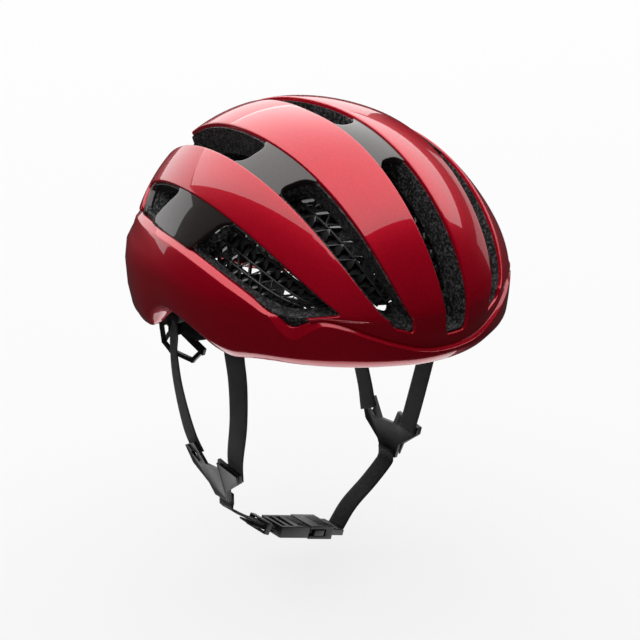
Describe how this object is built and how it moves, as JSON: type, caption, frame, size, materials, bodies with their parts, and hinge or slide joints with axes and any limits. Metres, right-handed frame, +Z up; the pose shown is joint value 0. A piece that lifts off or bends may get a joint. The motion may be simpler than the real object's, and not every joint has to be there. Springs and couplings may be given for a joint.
{
  "type": "cycling helmet",
  "caption": "Road cycling helmet with ribbed gloss shells over a foam body, open vents, a cellular liner, a dial-adjusted fit cradle and buckled webbing.",
  "frame": {"origin": "middle of the head opening, just below the brim, at the head_seat mount", "axes": "+Z up through the crown, -Y towards the helmet's front, -X towards the wearer's right"},
  "size_m": [0.2108, 0.2783, 0.2973],
  "materials": {
    "red_shell": "gloss",
    "smoke_shell": "gloss",
    "foam": "matte",
    "cell_polymer": "gloss",
    "pad_fabric": "matte",
    "webbing": "matte",
    "black_nylon": "satin"
  },
  "bodies": {
    "helmet": {"upper_shell": "red_shell", "lower_shell": "red_shell", "bridge_center": "smoke_shell", "bridge_upper_right": "smoke_shell", "bridge_upper_left": "smoke_shell", "bridge_side_right": "smoke_shell", "bridge_side_left": "smoke_shell", "foam_liner": "foam", "cellular_liner": "cell_polymer", "brow_pad": "pad_fabric", "crown_pad": "pad_fabric", "side_pad_right": "pad_fabric", "side_pad_left": "pad_fabric", "strap_front_right": "webbing", "strap_rear_right": "webbing", "strap_front_left": "webbing", "strap_rear_left": "webbing", "chin_strap_right": "webbing", "chin_strap_left": "webbing", "anchor_front_right": "black_nylon", "anchor_rear_right": "black_nylon", "anchor_front_left": "black_nylon", "anchor_rear_left": "black_nylon", "divider_right": "black_nylon", "divider_left": "black_nylon", "buckle_socket": "black_nylon", "temple_anchor_right": "black_nylon", "temple_anchor_left": "black_nylon"},
    "fit_arms": {"fit_arm_right": "black_nylon", "fit_arm_left": "black_nylon"},
    "cradle": {"fit_cradle": "black_nylon", "cradle_pad_right": "pad_fabric", "cradle_pad_left": "pad_fabric", "dial_housing": "black_nylon", "lace_right": "webbing", "lace_left": "webbing"},
    "dial": {"dial_knob": "black_nylon"},
    "flap_right": {"divider_flap_right": "black_nylon"},
    "flap_left": {"divider_flap_left": "black_nylon"},
    "clip": {"buckle_clip": "black_nylon", "strap_tail": "webbing", "strap_keeper": "black_nylon"},
    "prong_front": {"buckle_prong_front": "black_nylon"},
    "prong_rear": {"buckle_prong_rear": "black_nylon"}
  },
  "joints": [
    {"name": "fit_tilt", "type": "hinge", "parent": "helmet", "child": "fit_arms", "pos_m": [0, -0.006, 0.024], "axis": [1, 0, 0], "range_deg": [-8, 0]},
    {"name": "fit_tighten", "type": "slide", "parent": "fit_arms", "child": "cradle", "axis": [0, -1, 0], "range_m": [0, 0.012]},
    {"name": "dial_spin", "type": "hinge", "parent": "cradle", "child": "dial", "pos_m": [0, 0.1225, -0.022], "axis": [0, 1, 0], "range_deg": [0, 540]},
    {"name": "flap_right_open", "type": "hinge", "parent": "helmet", "child": "flap_right", "pos_m": [-0.07215, 0.0095, -0.0995], "axis": [0.1753, -0.1443, -0.9739], "range_deg": [0, 85]},
    {"name": "flap_left_open", "type": "hinge", "parent": "helmet", "child": "flap_left", "pos_m": [0.07215, 0.0095, -0.1075], "axis": [0.1753, 0.1443, 0.9739], "range_deg": [0, 85]},
    {"name": "clip_release", "type": "slide", "parent": "helmet", "child": "clip", "axis": [-0.9527, 0, 0.304], "range_m": [0, 0.026], "deforming": ["chin_strap_right"]},
    {"name": "prong_front_press", "type": "hinge", "parent": "clip", "child": "prong_front", "pos_m": [-0.0129, 0.0008, -0.14939], "axis": [0.304, 0, 0.9527], "range_deg": [0, 5], "stiffness_Nm_per_rad": 0.02},
    {"name": "prong_rear_press", "type": "hinge", "parent": "clip", "child": "prong_rear", "pos_m": [-0.0129, 0.0152, -0.14939], "axis": [-0.304, 0, -0.9527], "range_deg": [0, 5], "stiffness_Nm_per_rad": 0.02}
  ],
  "couplings": [
    {"joint": "dial_spin", "follows": "fit_tighten", "rad_per_m": 785}
  ]
}
